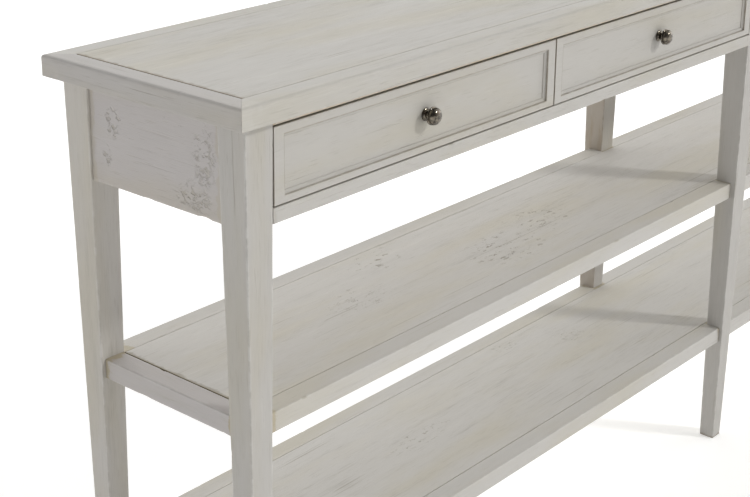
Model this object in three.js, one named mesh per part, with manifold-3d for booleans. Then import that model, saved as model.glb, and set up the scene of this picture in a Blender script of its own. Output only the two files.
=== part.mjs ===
// A long console table: a framed top and two framed shelves on six tapered legs, with four drawers.
// Millimetres, +Z up, +X along the length, the drawers open towards -Y.
// The origin is on the floor under the middle of the table.
import * as THREE from "three";
import { mergeVertices } from "three/addons/utils/BufferGeometryUtils.js";
import Module from "manifold-3d";

// ---- Driving dimensions -------------------------------------------------------------------

// Overall
const tableLength = 2200;
const tableDepth = 318;
const tableHeight = 816;

// Top
const topThickness = 25;
const topBorderWidth = 27;
const topEndOverhang = 17;
const topSideOverhang = 14;

// Legs, square and tapered on all four sides from top to floor
const legTopWidth = 41;
const legFootWidth = 24;

// Aprons at the ends and the back
const apronHeight = 115.5;
const apronThickness = 20;
const endApronSetback = 4;
const backApronSetback = 1;

// Rails above and below the drawer fronts
const frontRailDepth = 20;
const frontRailSetback = 1;
const upperRailHeight = 8;
const lowerRailHeight = 17.5;

// Boards the drawers run on, and the dividers between them
const runnerBoardThickness = 12;
const dividerThickness = 12;
const dividerBehindFront = 3;

// Shelves
const shelfThickness = 25;
const shelfBorderWidth = 27;
const shelfEndSetback = 9;
const shelfSideSetback = 12;
const upperShelfTop = 450.5;
const lowerShelfTop = 201;

// Tenons. Each is drawn as a block that starts inside its own board, by tenonRoot.
const tenonRoot = 1;
const railTenonLength = 14;
const railTenonThickness = 8;
const apronTenonShoulder = 15;
const lowerRailTenonShoulder = 3;
const shelfTenonLength = 6;
const shelfTenonWidth = 10;

// Drawers
const drawerFrontThickness = 20;
const drawerTopGap = 2;
const drawerBottomGap = 1.6;
const drawerLegGap = 1.8;
const drawerMiddleGap = 2.4;
const drawerSplitOutward = 5;
const recessDepth = 5;
const recessBevel = 4;
const recessSideMargin = 19;
const recessTopMargin = 15;
const recessBottomMargin = 12.5;
const boxWall = 10;
const boxRearSpace = 8;
const boxLegClearance = 5;
const boxDividerClearance = 3;
const boxRunnerClearance = 0.5;
const boxTopClearance = 17;
const boxBottomThickness = 5;
const boxBottomRaise = 8;
const boxGrooveDepth = 4;

// Knobs, as radii and as distances out from the recessed face of the drawer front
const knobShankRadius = 2.2;
const knobShankClearance = 0.3;
const screwHeadRadius = 4.5;
const screwHeadHeight = 2.6;
const rosetteRadius = 8;
const rosetteRim = 1.8;
const rosetteShoulderRadius = 6.3;
const rosetteShoulder = 3.6;
const rosetteHeight = 5;
const neckFootRadius = 3.9;
const neckFoot = 6;
const neckRadius = 3.1;
const neckEnd = 9;
const flangeBackRadius = 5.7;
const flangeBack = 10.3;
const flangeRadius = 11;
const flangeStart = 11.6;
const flangeEdge = 1.4;
const stepRadius = 8.8;
const stepBack = 13.6;
const faceRadius = 9.8;
const faceStart = 14;
const knobProjection = 20;
const knobSides = 24;

// The knob's rounded face, as shares of its radius and of its rise from faceStart to knobProjection
const faceRound = [[1, 0.22], [0.82, 0.55], [0.5, 0.86], [0, 1]];

// Clearances
const glueGap = 0.2;
const panelGap = 0.6;
const mortiseGap = 0.3;

// ---- Sizes worked out from them -----------------------------------------------------------

const halfLength = tableLength / 2;
const halfDepth = tableDepth / 2;
const topUnderside = tableHeight - topThickness;
const legLength = topUnderside - glueGap;

// Planes of the legs' outer faces at their tops, and the legs' centre lines
const frameHalfLength = halfLength - topEndOverhang;
const frameHalfDepth = halfDepth - topSideOverhang;
const endLegX = frameHalfLength - legTopWidth / 2;
const legY = frameHalfDepth - legTopWidth / 2;
const drawerSplitX = endLegX / 2 + drawerSplitOutward;

const apronBottom = topUnderside - apronHeight;
const lowerRailTop = apronBottom + lowerRailHeight;
const upperRailBottom = topUnderside - upperRailHeight;
const frontPlane = -(frameHalfDepth - frontRailSetback);
const backApronInner = frameHalfDepth - backApronSetback - apronThickness;
const drawerFrontBottom = lowerRailTop + drawerBottomGap;
const drawerFrontTop = upperRailBottom - drawerTopGap;
const drawerFrontBack = frontPlane + drawerFrontThickness;

// ---- Solids -------------------------------------------------------------------------------

const wasm = await Module();
wasm.setup();

// A closed geometry as a manifold solid, for cutting and joining.
function toSolid(geometry) {
  const bare = geometry.clone();
  bare.deleteAttribute("normal");
  bare.deleteAttribute("uv");
  const merged = mergeVertices(bare, 1e-4);
  return new wasm.Manifold(
    new wasm.Mesh({
      numProp: 3,
      vertProperties: merged.attributes.position.array,
      triVerts: new Uint32Array(merged.index.array),
    }),
  );
}

function toGeometry(solid) {
  const mesh = solid.getMesh();
  const geometry = new THREE.BufferGeometry();
  geometry.setAttribute("position", new THREE.BufferAttribute(mesh.vertProperties, 3));
  geometry.setIndex(new THREE.BufferAttribute(mesh.triVerts, 1));
  geometry.computeVertexNormals();
  return geometry;
}

function cut(geometry, cutters) {
  let solid = toSolid(geometry);
  for (const cutter of cutters) solid = solid.subtract(toSolid(cutter));
  return toGeometry(solid);
}

function join(geometry, additions) {
  let solid = toSolid(geometry);
  for (const addition of additions) solid = solid.add(toSolid(addition));
  return toGeometry(solid);
}

// A block from three [low, high] ranges.
function block(x, y, z) {
  const geometry = new THREE.BoxGeometry(x[1] - x[0], y[1] - y[0], z[1] - z[0]);
  return geometry.translate((x[0] + x[1]) / 2, (y[0] + y[1]) / 2, (z[0] + z[1]) / 2);
}

function outline(points) {
  return new THREE.Shape(points.map(([u, v]) => new THREE.Vector2(u, v)));
}

// A board whose outline is drawn in plan (x, y) and that stands between two heights.
function boardInPlan(points, z) {
  const geometry = new THREE.ExtrudeGeometry(outline(points), { depth: z[1] - z[0], bevelEnabled: false });
  return geometry.translate(0, 0, z[0]);
}

// A board whose outline is drawn from the front (x, z), and that reaches from y[0] to y[1].
function boardFromFront(points, y) {
  const geometry = new THREE.ExtrudeGeometry(outline(points), { depth: y[1] - y[0], bevelEnabled: false });
  return geometry.rotateX(Math.PI / 2).translate(0, y[1], 0);
}

// A board whose outline is drawn from the end (y, z), and that reaches from x[0] to x[1].
function boardFromEnd(points, x) {
  const geometry = new THREE.ExtrudeGeometry(outline(points), { depth: x[1] - x[0], bevelEnabled: false });
  const turn = new THREE.Matrix4().makeBasis(
    new THREE.Vector3(0, 1, 0),
    new THREE.Vector3(0, 0, 1),
    new THREE.Vector3(1, 0, 0),
  );
  return geometry.applyMatrix4(turn).translate(x[0], 0, 0);
}

// Two numbers in rising order.
function range(a, b) {
  return a < b ? [a, b] : [b, a];
}

function grown([low, high], by) {
  return [low - by, high + by];
}

// ---- Materials ----------------------------------------------------------------------------

function limedWood(colour) {
  return new THREE.MeshStandardMaterial({ color: colour, roughness: 0.72, metalness: 0 });
}

const topColour = 0xbebbb3;
const frameColour = 0xb2aea6;
const drawerFaceColour = 0xb9b5ad;
const drawerBoxColour = 0xc2a984;

function bronze() {
  return new THREE.MeshStandardMaterial({ color: 0x3a3129, roughness: 0.38, metalness: 1 });
}

const table = new THREE.Group();

function place(name, geometry, material) {
  const mesh = new THREE.Mesh(geometry, material);
  mesh.name = name;
  table.add(mesh);
}

// ---- Legs ---------------------------------------------------------------------------------

// Half the leg's width at a height above the floor.
function legHalf(z) {
  return (legFootWidth + (legTopWidth - legFootWidth) * (z / topUnderside)) / 2;
}

// Every tenon that enters a leg is noted here, and each leg is mortised for those that reach it.
const tenons = [];

function tenon(x, y, z) {
  tenons.push({ x, y, z });
  return block(x, y, z);
}

function reaches(a, b) {
  return a[0] < b[1] && b[0] < a[1];
}

function mortisesFor(centreX, centreY) {
  const spanX = grown([centreX, centreX], legTopWidth / 2);
  const spanY = grown([centreY, centreY], legTopWidth / 2);
  return tenons
    .filter(({ x, y }) => reaches(x, spanX) && reaches(y, spanY))
    .map(({ x, y, z }) => block(grown(x, mortiseGap), grown(y, mortiseGap), grown(z, mortiseGap)));
}

function taperedLeg(centreX, centreY) {
  const corner = Math.SQRT1_2;
  const leg = new THREE.CylinderGeometry(
    2 * legHalf(legLength) * corner,
    legFootWidth * corner,
    legLength,
    4,
  );
  return leg.rotateY(Math.PI / 4).rotateX(Math.PI / 2).translate(centreX, centreY, legLength / 2);
}

// The middle leg at the back is halved at its top, so that the back apron runs past it in one length.
function apronNotch() {
  const x = grown([0, 0], legTopWidth);
  return block(x, [backApronInner - glueGap, halfDepth], [apronBottom - glueGap, tableHeight]);
}

function addLegs() {
  for (const [row, y] of [["front", -legY], ["back", legY]]) {
    for (const [end, x] of [["left", -endLegX], ["middle", 0], ["right", endLegX]]) {
      const cutters = mortisesFor(x, y);
      if (row === "back" && end === "middle") cutters.push(apronNotch());
      place(`leg_${row}_${end}`, cut(taperedLeg(x, y), cutters), limedWood(frameColour));
    }
  }
}

// ---- Top ----------------------------------------------------------------------------------

// A border of four mitred rails around a panel whose grain runs along the table.
function addTop() {
  const z = [topUnderside, tableHeight];
  const innerX = halfLength - topBorderWidth;
  const innerY = halfDepth - topBorderWidth;
  const wood = () => limedWood(topColour);
  const mitre = glueGap / 2;
  for (const [name, side] of [["front", -1], ["back", 1]]) {
    const points = [
      [-(halfLength - mitre), side * halfDepth],
      [halfLength - mitre, side * halfDepth],
      [innerX - mitre, side * innerY],
      [-(innerX - mitre), side * innerY],
    ];
    place(`top_rail_${name}`, boardInPlan(points, z), wood());
  }
  for (const [name, side] of [["left", -1], ["right", 1]]) {
    const points = [
      [side * halfLength, -(halfDepth - mitre)],
      [side * halfLength, halfDepth - mitre],
      [side * innerX, innerY - mitre],
      [side * innerX, -(innerY - mitre)],
    ];
    place(`top_rail_${name}`, boardInPlan(points, z), wood());
  }
  const panelX = grown([0, 0], innerX - panelGap);
  const panelY = grown([0, 0], innerY - panelGap);
  place("top_panel", block(panelX, panelY, z), wood());
}

// ---- Aprons -------------------------------------------------------------------------------

// The end aprons stand between the front and back legs, and their ends follow the legs' taper.
function addEndAprons() {
  const z = [apronBottom, topUnderside - glueGap];
  const tenonZ = [z[0] + apronTenonShoulder, z[1] - apronTenonShoulder];
  for (const [name, side] of [["left", -1], ["right", 1]]) {
    const outer = side * (frameHalfLength - endApronSetback);
    const x = range(outer, outer - side * apronThickness);
    const middle = (x[0] + x[1]) / 2;
    const tenonX = grown([middle, middle], railTenonThickness / 2);
    const endY = (height) => legY - legHalf(height) - glueGap;
    const points = [
      [-endY(z[0]), z[0]],
      [endY(z[0]), z[0]],
      [endY(z[1]), z[1]],
      [-endY(z[1]), z[1]],
    ];
    const reach = endY(z[0]) - tenonRoot;
    const far = endY(z[1]) + railTenonLength;
    const ends = [tenon(tenonX, [-far, -reach], tenonZ), tenon(tenonX, [reach, far], tenonZ)];
    place(`apron_${name}`, join(boardFromEnd(points, x), ends), limedWood(frameColour));
  }
}

// The back apron runs in one length between the end legs.
function addBackApron() {
  const z = [apronBottom, topUnderside - glueGap];
  const tenonZ = [z[0] + apronTenonShoulder, z[1] - apronTenonShoulder];
  const y = [backApronInner, backApronInner + apronThickness];
  const middle = (y[0] + y[1]) / 2;
  const tenonY = grown([middle, middle], railTenonThickness / 2);
  const endX = (height) => endLegX - legHalf(height) - glueGap;
  const points = [
    [-endX(z[0]), z[0]],
    [endX(z[0]), z[0]],
    [endX(z[1]), z[1]],
    [-endX(z[1]), z[1]],
  ];
  const reach = endX(z[0]) - tenonRoot;
  const far = endX(z[1]) + railTenonLength;
  const ends = [tenon([-far, -reach], tenonY, tenonZ), tenon([reach, far], tenonY, tenonZ)];
  place("apron_back", join(boardFromFront(points, y), ends), limedWood(frameColour));
}

// ---- The two bays between the legs --------------------------------------------------------

// The clear way between the end leg and the middle leg of a bay, at a height.
function bayClear(side, z) {
  return range(side * legHalf(z), side * (endLegX - legHalf(z)));
}

function addFrontRails(name, side) {
  const y = [frontPlane, frontPlane + frontRailDepth];
  const middle = (y[0] + y[1]) / 2;
  const lowerX = grown(bayClear(side, lowerRailTop), -glueGap);
  const lowerZ = [apronBottom, lowerRailTop];
  const tenonY = grown([middle, middle], railTenonThickness / 2);
  const tenonZ = grown(lowerZ, -lowerRailTenonShoulder);
  const ends = [
    tenon([lowerX[0] - railTenonLength, lowerX[0] + tenonRoot], tenonY, tenonZ),
    tenon([lowerX[1] - tenonRoot, lowerX[1] + railTenonLength], tenonY, tenonZ),
  ];
  place(`lower_rail_${name}`, join(block(lowerX, y, lowerZ), ends), limedWood(frameColour));

  const upperZ = [upperRailBottom, topUnderside - glueGap];
  const upperX = grown(bayClear(side, upperZ[1]), -glueGap);
  place(`upper_rail_${name}`, block(upperX, y, upperZ), limedWood(frameColour));
}

// The board that both drawers of a bay run on, and the divider that keeps them apart.
function addDrawerSupports(name, side) {
  const x = grown(bayClear(side, lowerRailTop), -glueGap);
  const y = [frontPlane + frontRailDepth + glueGap, backApronInner - glueGap];
  const runnerZ = [lowerRailTop - runnerBoardThickness, lowerRailTop];
  place(`runner_board_${name}`, block(x, y, runnerZ), limedWood(drawerBoxColour));

  const dividerX = grown([side * drawerSplitX, side * drawerSplitX], dividerThickness / 2);
  const dividerY = [drawerFrontBack + dividerBehindFront, backApronInner - glueGap];
  const dividerZ = [lowerRailTop + glueGap, topUnderside - glueGap];
  place(`divider_${name}`, block(dividerX, dividerY, dividerZ), limedWood(drawerBoxColour));
}

// ---- Shelves ------------------------------------------------------------------------------

// A shelf is a panel in a border of rails. The rails butt against the legs with stub tenons, and where the
// border is wider than the leg is deep, a strip of each long rail passes behind the leg.
function addShelf(name, shelfTop) {
  const z = [shelfTop - shelfThickness, shelfTop];
  const middleZ = (z[0] + z[1]) / 2;
  const tenonZ = grown([middleZ, middleZ], shelfTenonWidth / 2);
  const half = legHalf(shelfTop);
  const legInnerY = legY - half;
  const outerX = frameHalfLength - shelfEndSetback;
  const outerY = frameHalfDepth - shelfSideSetback;
  const innerX = outerX - shelfBorderWidth;
  const innerY = Math.min(outerY - shelfBorderWidth, legInnerY);
  const wood = () => limedWood(topColour);

  for (const [end, side] of [["left", -1], ["right", 1]]) {
    // End rail, between the front and back legs
    const x = range(side * innerX, side * outerX);
    const endY = legInnerY - glueGap;
    const middleX = (x[0] + x[1]) / 2;
    const endTenonX = grown([middleX, middleX], shelfTenonWidth / 2);
    const endTenons = [
      tenon(endTenonX, [-endY - shelfTenonLength, -endY + tenonRoot], tenonZ),
      tenon(endTenonX, [endY - tenonRoot, endY + shelfTenonLength], tenonZ),
    ];
    const endRail = block(x, [-endY, endY], z);
    place(`${name}_end_${end}`, join(endRail, endTenons), wood());

    // Long rails of this bay, in front and behind
    for (const [row, face] of [["front", -1], ["back", 1]]) {
      const railX = grown(range(side * half, side * (endLegX - half)), -glueGap);
      const fullX = grown(range(side * half, side * Math.min(endLegX - half, innerX)), -glueGap);
      const fullY = range(face * innerY, face * outerY);
      const outerPart = block(railX, range(face * legInnerY, face * outerY), z);
      const middleY = (face * (legInnerY + outerY)) / 2;
      const tenonY = grown([middleY, middleY], shelfTenonWidth / 2);
      const additions = [
        outerPart,
        tenon([railX[0] - shelfTenonLength, railX[0] + tenonRoot], tenonY, tenonZ),
        tenon([railX[1] - tenonRoot, railX[1] + shelfTenonLength], tenonY, tenonZ),
      ];
      const stripX = grown(range(0, side * innerX), -glueGap);
      const stripY = range(face * innerY, face * (legInnerY - glueGap));
      if (legInnerY - glueGap - innerY > glueGap) additions.push(block(stripX, stripY, z));
      place(`${name}_${row}_${end}`, join(block(fullX, fullY, z), additions), wood());
    }
  }

  const panelX = grown([0, 0], innerX - panelGap);
  const panelY = grown([0, 0], innerY - panelGap);
  place(`${name}_panel`, block(panelX, panelY, z), wood());
}

// ---- Drawers ------------------------------------------------------------------------------

// A knob turned in one piece with its screw, which comes through the drawer front from inside.
function knob(centreX, centreZ) {
  const faceY = frontPlane + recessDepth;
  const inside = -(drawerFrontThickness - recessDepth) - glueGap;
  const faceRise = knobProjection - faceStart;
  const profile = [
    [0, inside - screwHeadHeight],
    [screwHeadRadius, inside - screwHeadHeight],
    [screwHeadRadius, inside],
    [knobShankRadius, inside],
    [knobShankRadius, glueGap],
    [rosetteRadius, glueGap],
    [rosetteRadius, rosetteRim],
    [rosetteShoulderRadius, rosetteShoulder],
    [neckFootRadius, rosetteHeight],
    [neckRadius, neckFoot],
    [neckRadius, neckEnd],
    [flangeBackRadius, flangeBack],
    [flangeRadius, flangeStart],
    [flangeRadius, flangeStart + flangeEdge],
    [stepRadius, stepBack],
    [faceRadius, faceStart],
    ...faceRound.map(([share, rise]) => [share * faceRadius, faceStart + rise * faceRise]),
  ];
  const points = profile.map(([radius, out]) => new THREE.Vector2(radius, out));
  const turned = new THREE.LatheGeometry(points, knobSides);
  return turned.rotateX(Math.PI).translate(centreX, faceY, centreZ);
}

// The front is one board with a sunk field, and its outer edge follows the leg's taper.
function drawerFront(legSide, legEdge, middleEdge, knobX, knobZ, groove) {
  const points = [
    [middleEdge, drawerFrontBottom],
    [legEdge(drawerFrontBottom), drawerFrontBottom],
    [legEdge(drawerFrontTop), drawerFrontTop],
    [middleEdge, drawerFrontTop],
  ];
  const front = boardFromFront(points, [frontPlane, drawerFrontBack]);

  const fieldX = range(
    legEdge(drawerFrontTop) - legSide * recessSideMargin,
    middleEdge + legSide * recessSideMargin,
  );
  const fieldZ = [drawerFrontBottom + recessBottomMargin, drawerFrontTop - recessTopMargin];
  const field = outline([
    [fieldX[0], fieldZ[0]],
    [fieldX[1], fieldZ[0]],
    [fieldX[1], fieldZ[1]],
    [fieldX[0], fieldZ[1]],
  ]);
  const sunk = new THREE.ExtrudeGeometry(field, {
    depth: recessDepth,
    bevelEnabled: true,
    bevelSize: recessBevel,
    bevelThickness: recessDepth,
    bevelSegments: 1,
  });
  sunk.rotateX(Math.PI / 2).translate(0, frontPlane, 0);

  const holeRadius = knobShankRadius + knobShankClearance;
  const hole = new THREE.CylinderGeometry(holeRadius, holeRadius, 3 * drawerFrontThickness, knobSides);
  hole.translate(knobX, frontPlane, knobZ);
  return cut(front, [sunk, hole, groove]);
}

// One drawer. bay is -1 for the left bay, and legSide points from the drawer to its leg.
function addDrawer(number, bay, legSide) {
  const name = `drawer_${number}`;
  const split = bay * drawerSplitX;
  const legLine = legSide === bay ? bay * endLegX : 0;
  const legEdge = (height) => legLine - legSide * (legHalf(height) + drawerLegGap);
  const middleEdge = split + (legSide * drawerMiddleGap) / 2;
  const knobX = (legEdge(drawerFrontTop) + middleEdge) / 2;
  const knobZ = (drawerFrontTop + drawerFrontBottom) / 2;

  // The box behind the front
  const boxOuter = range(
    legLine - legSide * (legHalf(lowerRailTop) + boxLegClearance),
    split + legSide * (dividerThickness / 2 + boxDividerClearance),
  );
  const boxInner = grown(boxOuter, -boxWall);
  const boxY = [drawerFrontBack + glueGap, backApronInner - boxRearSpace];
  const boxZ = [lowerRailTop + boxRunnerClearance, upperRailBottom - boxTopClearance];
  const bottomZ = [boxZ[0] + boxBottomRaise, boxZ[0] + boxBottomRaise + boxBottomThickness];
  const bottomX = grown(boxInner, boxGrooveDepth);
  const bottomY = [drawerFrontBack - boxGrooveDepth, boxY[1]];
  const groove = block(
    grown(bottomX, glueGap),
    [bottomY[0] - glueGap, bottomY[1] + boxWall],
    grown(bottomZ, glueGap),
  );

  const front = drawerFront(legSide, legEdge, middleEdge, knobX, knobZ, groove);
  place(`${name}_front`, front, limedWood(drawerFaceColour));
  const boxWood = () => limedWood(drawerBoxColour);
  const leftSide = block([boxOuter[0], boxInner[0]], boxY, boxZ);
  const rightSide = block([boxInner[1], boxOuter[1]], boxY, boxZ);
  place(`${name}_side_left`, cut(leftSide, [groove]), boxWood());
  place(`${name}_side_right`, cut(rightSide, [groove]), boxWood());
  const backX = grown(boxInner, -glueGap);
  const backY = [boxY[1] - boxWall, boxY[1]];
  place(`${name}_back`, block(backX, backY, [bottomZ[1] + glueGap, boxZ[1]]), boxWood());
  place(`${name}_bottom`, block(bottomX, bottomY, bottomZ), boxWood());
  place(`${name}_knob`, knob(knobX, knobZ), bronze());
}

// ---- Assembly -----------------------------------------------------------------------------

addTop();
addEndAprons();
addBackApron();
for (const [name, side] of [["left", -1], ["right", 1]]) {
  addFrontRails(name, side);
  addDrawerSupports(name, side);
}
addShelf("upper_shelf", upperShelfTop);
addShelf("lower_shelf", lowerShelfTop);
addLegs();
addDrawer(1, -1, -1);
addDrawer(2, -1, 1);
addDrawer(3, 1, -1);
addDrawer(4, 1, 1);

export default table;
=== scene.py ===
import bmesh
import bpy
import math
import random
from mathutils import Matrix, Vector, noise


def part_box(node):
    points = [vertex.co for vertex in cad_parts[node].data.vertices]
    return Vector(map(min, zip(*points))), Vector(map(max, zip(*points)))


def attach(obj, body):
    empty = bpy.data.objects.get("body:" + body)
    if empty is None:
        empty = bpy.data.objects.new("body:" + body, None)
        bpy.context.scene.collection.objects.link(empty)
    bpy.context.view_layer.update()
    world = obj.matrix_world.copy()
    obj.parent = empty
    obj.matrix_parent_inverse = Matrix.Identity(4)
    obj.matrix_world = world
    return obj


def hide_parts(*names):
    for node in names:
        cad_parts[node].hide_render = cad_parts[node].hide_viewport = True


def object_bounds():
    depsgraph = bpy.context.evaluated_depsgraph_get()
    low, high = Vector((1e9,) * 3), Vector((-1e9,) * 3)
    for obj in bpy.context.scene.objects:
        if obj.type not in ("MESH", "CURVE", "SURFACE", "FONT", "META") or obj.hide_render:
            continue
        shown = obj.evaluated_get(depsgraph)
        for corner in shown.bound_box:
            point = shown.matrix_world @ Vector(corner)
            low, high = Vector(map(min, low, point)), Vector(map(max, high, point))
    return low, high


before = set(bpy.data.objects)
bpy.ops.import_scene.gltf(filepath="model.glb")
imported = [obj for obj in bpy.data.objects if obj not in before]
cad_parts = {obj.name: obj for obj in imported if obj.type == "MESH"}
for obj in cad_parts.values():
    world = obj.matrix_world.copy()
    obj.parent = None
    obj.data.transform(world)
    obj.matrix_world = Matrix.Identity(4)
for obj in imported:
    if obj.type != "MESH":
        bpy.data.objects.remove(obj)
cad_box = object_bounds()

# ---- Top ----------------------------------------------------------------------------------
# Four mitred border rails lie round one wide panel. The wood is brushed so that its grain stands
# up, limed with a thin grey-white wash, and the arrises are rubbed round and chipped by hand.
MM = 0.001
ALONG = {"x": Vector((1, 0, 0)), "y": Vector((0, 1, 0)), "z": Vector((0, 0, 1))}
TOP_ARRIS = 3.6 * MM
BORDER_ARRIS = 0.8 * MM
WAVE = 0.15 * MM
WAVE_SCALE = 31
SUPPORT = 2.6 * MM
SHARP_TURN = math.radians(30)
CUTS_APART = (24, 44)
END_CLEAR = 10 * MM
CHIP_LENGTHS = (6, 22)
CHIP_CUTS = (-0.5, -0.28, 0, 0.2, 0.5)
CHIP_SCALE = 900
SHORTEST_CHIPPED = 60 * MM
WEAR_STARTS = 5 * MM


def board_of(node):
    """A CAD board as one closed bmesh with whole faces."""
    board = bmesh.new()
    board.from_mesh(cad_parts[node].data)
    bmesh.ops.remove_doubles(board, verts=board.verts, dist=1e-5)
    bmesh.ops.dissolve_limit(
        board, angle_limit=math.radians(0.5), verts=board.verts, edges=board.edges
    )
    return board


def saw(board, point, across):
    """Cuts new edges into a board on the plane through point, square to across."""
    whole = board.verts[:] + board.edges[:] + board.faces[:]
    bmesh.ops.bisect_plane(board, geom=whole, plane_co=point, plane_no=across, dist=1e-6)


def arrises(board, grain, least=30 * MM):
    """The long outer edges that run with the grain."""
    found = []
    for edge in board.edges:
        if len(edge.link_faces) != 2 or edge.calc_face_angle_signed(0) < SHARP_TURN:
            continue
        run = edge.verts[1].co - edge.verts[0].co
        if run.length > least and abs(run.normalized().dot(grain)) > 0.98:
            found.append(edge)
    return found


def soften(board, grain, arris, special=None, special_arris=0.0, chips=6, deepest=1.2 * MM, seed=1):
    """Rounds the long arrises, then wears them: a slight wave all along and chips here and there.

    Arrises that special picks out are rounded by special_arris instead.
    """
    draw = random.Random(seed)
    lines = []
    for edge in arrises(board, grain):
        first, last = [v.co.copy() for v in edge.verts]
        if (last - first).dot(grain) < 0:
            first, last = last, first
        sides = [face.normal.copy() for face in edge.link_faces]
        width = special_arris if special and special((first + last) / 2) else arris
        lines.append((first, last, sides, width))
    for width in sorted({line[3] for line in lines}, reverse=True):
        chosen = [
            edge for edge in arrises(board, grain)
            if any(
                (sum((v.co for v in edge.verts), Vector()) / 2 - first).cross(last - first).length
                < 1e-5 * (last - first).length
                for first, last, sides, own in lines if own == width
            )
        ]
        bmesh.ops.bevel(
            board, geom=chosen, offset=width, offset_type="OFFSET", affect="EDGES",
            segments=4 if width > 1.5 * MM else 3, profile=0.5, material=-1, clamp_overlap=True,
        )
    planes = {}
    for first, last, sides, width in lines:
        for side in sides:
            inside = first - side * (width + SUPPORT)
            planes[tuple(round(c, 3) for c in side) + (round(inside.dot(side), 4),)] = (inside, side)
    for inside, side in planes.values():
        saw(board, inside, side)
    worn = []
    low = min(first.dot(grain) for first, *_ in lines)
    high = max(last.dot(grain) for _, last, *_ in lines)
    cuts = []
    at = low + 12 * MM
    while at < high - END_CLEAR:
        cuts.append(at)
        at += draw.uniform(*CUTS_APART) * MM
    for _ in range(chips):
        line = draw.choice(lines)
        start, stop = line[0].dot(grain), line[1].dot(grain)
        if stop - start < SHORTEST_CHIPPED:
            continue
        centre = draw.uniform(start + END_CLEAR, stop - END_CLEAR)
        length = draw.uniform(*CHIP_LENGTHS) * MM
        worn.append((line, centre, length / 2, draw.uniform(0.35, 1) * deepest))
        cuts += [centre + length * share for share in CHIP_CUTS]
    for cut in sorted(cuts):
        saw(board, grain * cut, grain)
    chipped_and_shaded = board.verts.layers.float.new("chipped_and_shaded")
    for vert in board.verts:
        for first, last, sides, width in lines:
            run = (last - first).normalized()
            along = (vert.co - first).dot(run)
            if not -1e-5 < along < (last - first).length + 1e-5:
                continue
            if ((vert.co - first) - run * along).length > width * 1.25:
                continue
            inward = -(sides[0] + sides[1]).normalized()
            from_end = min(along, (last - first).length - along)
            held = min(1.0, max(0.0, from_end / WEAR_STARTS))
            wave = noise.noise(vert.co * WAVE_SCALE + Vector((seed, 0, 0))) * 0.5 + 0.5
            move = WAVE * wave
            for line, centre, half, depth in worn:
                if line[0] == first and line[1] == last:
                    away = abs(vert.co.dot(grain) - centre) / half
                    if away < 1:
                        bite = (1 - away * away) * depth
                        rough = 0.7 + 0.3 * noise.noise(vert.co * CHIP_SCALE)
                        move = max(move, bite * rough)
                        vert[chipped_and_shaded] = max(vert[chipped_and_shaded], bite / deepest)
            vert.co += inward * move * held
            break
    return board


def add(tree, kind, values=None, **settings):
    """A shader node with its settings and its inputs, each a value or another node's output."""
    made = tree.nodes.new(kind)
    for key, value in settings.items():
        setattr(made, key, value)
    for key, value in (values or {}).items():
        if isinstance(value, bpy.types.NodeSocket):
            tree.links.new(value, made.inputs[key])
        else:
            made.inputs[key].default_value = value
    return made


def reckon(tree, operation, first, second=0.0, third=0.0):
    """One sum on values or on other nodes' outputs."""
    return add(tree, "ShaderNodeMath", {0: first, 1: second, 2: third}, operation=operation).outputs[0]


def fade(tree, value, start, stop, low=0.0, high=1.0):
    """A smooth step from low to high as the value goes from start to stop."""
    return add(
        tree, "ShaderNodeMapRange",
        {"Value": value, "From Min": start, "From Max": stop, "To Min": low, "To Max": high},
        interpolation_type="SMOOTHSTEP",
    ).outputs[0]


def blend(tree, share, first, second, how="MIX"):
    """Goes from the first colour to the second one as share goes from 0 to 1."""
    made = add(tree, "ShaderNodeMix", {0: share}, data_type="RGBA", blend_type=how)
    for socket, value in ((made.inputs[6], first), (made.inputs[7], second)):
        if isinstance(value, bpy.types.NodeSocket):
            tree.links.new(value, socket)
        else:
            socket.default_value = (*value, 1)
    return made.outputs[2]


def grain_noise(tree, vector, stretch, detail=3.0, roughness=0.55, distortion=0.0):
    """A noise from 0 to 1 with its own number of waves to the metre along each axis."""
    scaled = add(tree, "ShaderNodeVectorMath", {0: vector, 1: stretch}, operation="MULTIPLY")
    return add(
        tree, "ShaderNodeTexNoise",
        {"Vector": scaled.outputs[0], "Scale": 1.0, "Detail": detail, "Roughness": roughness,
         "Distortion": distortion},
    ).outputs[0]


def new_group(name, inputs, outputs):
    """An empty shader group with its named sockets."""
    tree = bpy.data.node_groups.new(name, "ShaderNodeTree")
    for label, kind, value in inputs:
        socket = tree.interface.new_socket(name=label, in_out="INPUT", socket_type=kind)
        if value is not None:
            socket.default_value = value
    for label, kind in outputs:
        tree.interface.new_socket(name=label, in_out="OUTPUT", socket_type=kind)
    return tree, tree.nodes.new("NodeGroupInput").outputs, tree.nodes.new("NodeGroupOutput").inputs


FLOAT, COLOR, VECTOR = "NodeSocketFloat", "NodeSocketColor", "NodeSocketVector"
OLIVE_STAIN = (0.982, 0.96, 0.885)
RUBBED_HIGHLIGHT_WIDTH = (0.0034, 0.0004)
SHADED_SIDE_DEPTH = (0.0022, 0.0012)
LINE_WIDTH = (0.0014, 0.0004)
RIM_WIDTH = (0.0011, 0.0004)
GLAZE_RUN = 0.012
GLAZE_START = -0.0025
GLAZE_EDGE = 0.002


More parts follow.
